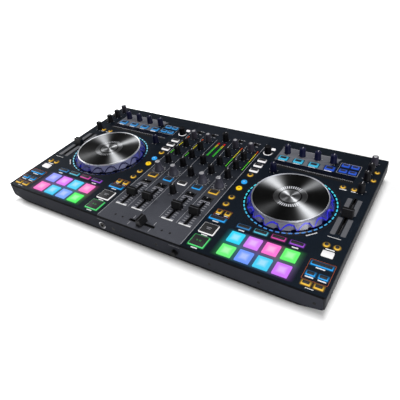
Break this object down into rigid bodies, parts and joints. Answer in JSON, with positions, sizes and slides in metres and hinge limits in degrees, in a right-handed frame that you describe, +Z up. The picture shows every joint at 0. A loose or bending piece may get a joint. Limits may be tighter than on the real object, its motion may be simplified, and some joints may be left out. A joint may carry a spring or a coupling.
{
  "type": "dj controller",
  "caption": "Wide, flat DJ console: a mixer section with knobs and faders between mirrored decks, each with a jog wheel, lit pads, keys and a pitch fader.",
  "frame": {"origin": "on the table, under the middle of the console", "axes": "+X to the user's right, +Y to the back, +Z up"},
  "size_m": [0.739, 0.424, 0.071],
  "materials": {
    "case": "fine grain",
    "front": "satin",
    "panel": "dark anodised, satin",
    "foot": "matte",
    "screw": "black zinc",
    "board": "solder mask",
    "pot": "moulded",
    "bearing": "moulded",
    "lens": "clear, lit from below",
    "socket": "moulded",
    "knob": "soft touch",
    "fader": "satin",
    "key": "lit from below",
    "silicone": "translucent, lit",
    "platter": "spun brushed",
    "skirt": "tinted"
  },
  "bodies": {
    "console": {"bottom_tray": "case", "front_plate": "front", "top_panel": "panel", "rubber_feet": "foot", "case_screws": "screw", "circuit_board": "board", "potentiometers": "pot", "jog_bearings": "bearing", "panel_lenses": "lens", "front_sockets": "socket", "rear_sockets": "socket", "trim_knobs": "knob"},
    "left_jog": {"left_jog_platter": "platter", "left_jog_skirt": "skirt"},
    "left_pad_mat": {"left_pad_mat": "silicone"},
    "left_cue_key": {"left_cue_key": "key"},
    "left_play_key": {"left_play_key": "key"},
    "left_deck_keys": {"left_deck_keys": "key"},
    "left_pitch_fader": {"left_pitch_fader": "fader"},
    "left_effect_knob_1": {"left_effect_knob_1": "knob"},
    "left_effect_knob_2": {"left_effect_knob_2": "knob"},
    "left_effect_knob_3": {"left_effect_knob_3": "knob"},
    "left_effect_knob_4": {"left_effect_knob_4": "knob"},
    "left_browse_knob": {"left_browse_knob": "knob"},
    "right_jog": {"right_jog_platter": "platter", "right_jog_skirt": "skirt"},
    "right_pad_mat": {"right_pad_mat": "silicone"},
    "right_cue_key": {"right_cue_key": "key"},
    "right_play_key": {"right_play_key": "key"},
    "right_deck_keys": {"right_deck_keys": "key"},
    "right_pitch_fader": {"right_pitch_fader": "fader"},
    "right_effect_knob_1": {"right_effect_knob_1": "knob"},
    "right_effect_knob_2": {"right_effect_knob_2": "knob"},
    "right_effect_knob_3": {"right_effect_knob_3": "knob"},
    "right_effect_knob_4": {"right_effect_knob_4": "knob"},
    "right_browse_knob": {"right_browse_knob": "knob"},
    "channel_1_fader": {"channel_1_fader": "fader"},
    "channel_1_high_knob": {"channel_1_high_knob": "knob"},
    "channel_1_mid_knob": {"channel_1_mid_knob": "knob"},
    "channel_1_low_knob": {"channel_1_low_knob": "knob"},
    "channel_1_filter_knob": {"channel_1_filter_knob": "knob"},
    "channel_2_fader": {"channel_2_fader": "fader"},
    "channel_2_high_knob": {"channel_2_high_knob": "knob"},
    "channel_2_mid_knob": {"channel_2_mid_knob": "knob"},
    "channel_2_low_knob": {"channel_2_low_knob": "knob"},
    "channel_2_filter_knob": {"channel_2_filter_knob": "knob"},
    "channel_3_fader": {"channel_3_fader": "fader"},
    "channel_3_high_knob": {"channel_3_high_knob": "knob"},
    "channel_3_mid_knob": {"channel_3_mid_knob": "knob"},
    "channel_3_low_knob": {"channel_3_low_knob": "knob"},
    "channel_3_filter_knob": {"channel_3_filter_knob": "knob"},
    "channel_4_fader": {"channel_4_fader": "fader"},
    "channel_4_high_knob": {"channel_4_high_knob": "knob"},
    "channel_4_mid_knob": {"channel_4_mid_knob": "knob"},
    "channel_4_low_knob": {"channel_4_low_knob": "knob"},
    "channel_4_filter_knob": {"channel_4_filter_knob": "knob"},
    "crossfader": {"crossfader": "fader"},
    "mixer_keys": {"mixer_keys": "key"},
    "assign_switches": {"assign_switches": "fader"},
    "contour_knob": {"contour_knob": "knob"}
  },
  "joints": [
    {"name": "left_jog_turn", "type": "hinge", "parent": "console", "child": "left_jog", "pos_m": [-0.232, -0.011, 0.0585], "axis": [0, 0, 1], "continuous": true},
    {"name": "left_pad_press", "type": "slide", "parent": "console", "child": "left_pad_mat", "axis": [0, 0, -1], "range_m": [0, 0.001], "stiffness_N_per_m": 1500, "springref_m": -0.002},
    {"name": "left_cue_press", "type": "slide", "parent": "console", "child": "left_cue_key", "axis": [0, 0, -1], "range_m": [0, 0.0008], "stiffness_N_per_m": 600, "springref_m": -0.002},
    {"name": "left_play_press", "type": "slide", "parent": "console", "child": "left_play_key", "axis": [0, 0, -1], "range_m": [0, 0.0008], "stiffness_N_per_m": 600, "springref_m": -0.002},
    {"name": "left_deck_key_press", "type": "slide", "parent": "console", "child": "left_deck_keys", "axis": [0, 0, -1], "range_m": [0, 0.0008], "stiffness_N_per_m": 900, "springref_m": -0.002},
    {"name": "left_pitch_slide", "type": "slide", "parent": "console", "child": "left_pitch_fader", "axis": [0, 1, 0], "range_m": [-0.05, 0.05]},
    {"name": "left_effect_knob_1_turn", "type": "hinge", "parent": "console", "child": "left_effect_knob_1", "pos_m": [-0.3052, 0.154, 0.0491], "axis": [0, 0, 1], "range_deg": [-150, 150]},
    {"name": "left_effect_knob_2_turn", "type": "hinge", "parent": "console", "child": "left_effect_knob_2", "pos_m": [-0.27, 0.154, 0.0491], "axis": [0, 0, 1], "range_deg": [-150, 150]},
    {"name": "left_effect_knob_3_turn", "type": "hinge", "parent": "console", "child": "left_effect_knob_3", "pos_m": [-0.2348, 0.154, 0.0491], "axis": [0, 0, 1], "range_deg": [-150, 150]},
    {"name": "left_effect_knob_4_turn", "type": "hinge", "parent": "console", "child": "left_effect_knob_4", "pos_m": [-0.1996, 0.154, 0.0491], "axis": [0, 0, 1], "range_deg": [-150, 150]},
    {"name": "left_browse_knob_turn", "type": "hinge", "parent": "console", "child": "left_browse_knob", "pos_m": [-0.118, 0.136, 0.0491], "axis": [0, 0, 1], "continuous": true},
    {"name": "right_jog_turn", "type": "hinge", "parent": "console", "child": "right_jog", "pos_m": [0.232, -0.011, 0.0585], "axis": [0, 0, 1], "continuous": true},
    {"name": "right_pad_press", "type": "slide", "parent": "console", "child": "right_pad_mat", "axis": [0, 0, -1], "range_m": [0, 0.001], "stiffness_N_per_m": 1500, "springref_m": -0.002},
    {"name": "right_cue_press", "type": "slide", "parent": "console", "child": "right_cue_key", "axis": [0, 0, -1], "range_m": [0, 0.0008], "stiffness_N_per_m": 600, "springref_m": -0.002},
    {"name": "right_play_press", "type": "slide", "parent": "console", "child": "right_play_key", "axis": [0, 0, -1], "range_m": [0, 0.0008], "stiffness_N_per_m": 600, "springref_m": -0.002},
    {"name": "right_deck_key_press", "type": "slide", "parent": "console", "child": "right_deck_keys", "axis": [0, 0, -1], "range_m": [0, 0.0008], "stiffness_N_per_m": 900, "springref_m": -0.002},
    {"name": "right_pitch_slide", "type": "slide", "parent": "console", "child": "right_pitch_fader", "axis": [0, 1, 0], "range_m": [-0.05, 0.05]},
    {"name": "right_effect_knob_1_turn", "type": "hinge", "parent": "console", "child": "right_effect_knob_1", "pos_m": [0.1588, 0.154, 0.0491], "axis": [0, 0, 1], "range_deg": [-150, 150]},
    {"name": "right_effect_knob_2_turn", "type": "hinge", "parent": "console", "child": "right_effect_knob_2", "pos_m": [0.194, 0.154, 0.0491], "axis": [0, 0, 1], "range_deg": [-150, 150]},
    {"name": "right_effect_knob_3_turn", "type": "hinge", "parent": "console", "child": "right_effect_knob_3", "pos_m": [0.2292, 0.154, 0.0491], "axis": [0, 0, 1], "range_deg": [-150, 150]},
    {"name": "right_effect_knob_4_turn", "type": "hinge", "parent": "console", "child": "right_effect_knob_4", "pos_m": [0.2644, 0.154, 0.0491], "axis": [0, 0, 1], "range_deg": [-150, 150]},
    {"name": "right_browse_knob_turn", "type": "hinge", "parent": "console", "child": "right_browse_knob", "pos_m": [0.118, 0.136, 0.0491], "axis": [0, 0, 1], "continuous": true},
    {"name": "channel_1_fader_slide", "type": "slide", "parent": "console", "child": "channel_1_fader", "axis": [0, 1, 0], "range_m": [-0.03, 0.03]},
    {"name": "channel_1_high_knob_turn", "type": "hinge", "parent": "console", "child": "channel_1_high_knob", "pos_m": [-0.0783, 0.0923, 0.0491], "axis": [0, 0, 1], "range_deg": [-150, 150]},
    {"name": "channel_1_mid_knob_turn", "type": "hinge", "parent": "console", "child": "channel_1_mid_knob", "pos_m": [-0.0783, 0.0546, 0.0491], "axis": [0, 0, 1], "range_deg": [-150, 150]},
    {"name": "channel_1_low_knob_turn", "type": "hinge", "parent": "console", "child": "channel_1_low_knob", "pos_m": [-0.0783, 0.0169, 0.0491], "axis": [0, 0, 1], "range_deg": [-150, 150]},
    {"name": "channel_1_filter_knob_turn", "type": "hinge", "parent": "console", "child": "channel_1_filter_knob", "pos_m": [-0.0783, -0.0208, 0.0491], "axis": [0, 0, 1], "range_deg": [-150, 150]},
    {"name": "channel_2_fader_slide", "type": "slide", "parent": "console", "child": "channel_2_fader", "axis": [0, 1, 0], "range_m": [-0.03, 0.03]},
    {"name": "channel_2_high_knob_turn", "type": "hinge", "parent": "console", "child": "channel_2_high_knob", "pos_m": [-0.0373, 0.0923, 0.0491], "axis": [0, 0, 1], "range_deg": [-150, 150]},
    {"name": "channel_2_mid_knob_turn", "type": "hinge", "parent": "console", "child": "channel_2_mid_knob", "pos_m": [-0.0373, 0.0546, 0.0491], "axis": [0, 0, 1], "range_deg": [-150, 150]},
    {"name": "channel_2_low_knob_turn", "type": "hinge", "parent": "console", "child": "channel_2_low_knob", "pos_m": [-0.0373, 0.0169, 0.0491], "axis": [0, 0, 1], "range_deg": [-150, 150]},
    {"name": "channel_2_filter_knob_turn", "type": "hinge", "parent": "console", "child": "channel_2_filter_knob", "pos_m": [-0.0373, -0.0208, 0.0491], "axis": [0, 0, 1], "range_deg": [-150, 150]},
    {"name": "channel_3_fader_slide", "type": "slide", "parent": "console", "child": "channel_3_fader", "axis": [0, 1, 0], "range_m": [-0.03, 0.03]},
    {"name": "channel_3_high_knob_turn", "type": "hinge", "parent": "console", "child": "channel_3_high_knob", "pos_m": [0.0373, 0.0923, 0.0491], "axis": [0, 0, 1], "range_deg": [-150, 150]},
    {"name": "channel_3_mid_knob_turn", "type": "hinge", "parent": "console", "child": "channel_3_mid_knob", "pos_m": [0.0373, 0.0546, 0.0491], "axis": [0, 0, 1], "range_deg": [-150, 150]},
    {"name": "channel_3_low_knob_turn", "type": "hinge", "parent": "console", "child": "channel_3_low_knob", "pos_m": [0.0373, 0.0169, 0.0491], "axis": [0, 0, 1], "range_deg": [-150, 150]},
    {"name": "channel_3_filter_knob_turn", "type": "hinge", "parent": "console", "child": "channel_3_filter_knob", "pos_m": [0.0373, -0.0208, 0.0491], "axis": [0, 0, 1], "range_deg": [-150, 150]},
    {"name": "channel_4_fader_slide", "type": "slide", "parent": "console", "child": "channel_4_fader", "axis": [0, 1, 0], "range_m": [-0.03, 0.03]},
    {"name": "channel_4_high_knob_turn", "type": "hinge", "parent": "console", "child": "channel_4_high_knob", "pos_m": [0.0783, 0.0923, 0.0491], "axis": [0, 0, 1], "range_deg": [-150, 150]},
    {"name": "channel_4_mid_knob_turn", "type": "hinge", "parent": "console", "child": "channel_4_mid_knob", "pos_m": [0.0783, 0.0546, 0.0491], "axis": [0, 0, 1], "range_deg": [-150, 150]},
    {"name": "channel_4_low_knob_turn", "type": "hinge", "parent": "console", "child": "channel_4_low_knob", "pos_m": [0.0783, 0.0169, 0.0491], "axis": [0, 0, 1], "range_deg": [-150, 150]},
    {"name": "channel_4_filter_knob_turn", "type": "hinge", "parent": "console", "child": "channel_4_filter_knob", "pos_m": [0.0783, -0.0208, 0.0491], "axis": [0, 0, 1], "range_deg": [-150, 150]},
    {"name": "crossfader_slide", "type": "slide", "parent": "console", "child": "crossfader", "axis": [1, 0, 0], "range_m": [-0.025, 0.025]},
    {"name": "mixer_key_press", "type": "slide", "parent": "console", "child": "mixer_keys", "axis": [0, 0, -1], "range_m": [0, 0.0008], "stiffness_N_per_m": 600, "springref_m": -0.002},
    {"name": "assign_switch_slide", "type": "slide", "parent": "console", "child": "assign_switches", "axis": [1, 0, 0], "range_m": [-0.004, 0.004]},
    {"name": "contour_knob_turn", "type": "hinge", "parent": "console", "child": "contour_knob", "pos_m": [0.0867, -0.2085, 0.025], "axis": [0, -1, 0], "range_deg": [-150, 150]}
  ]
}
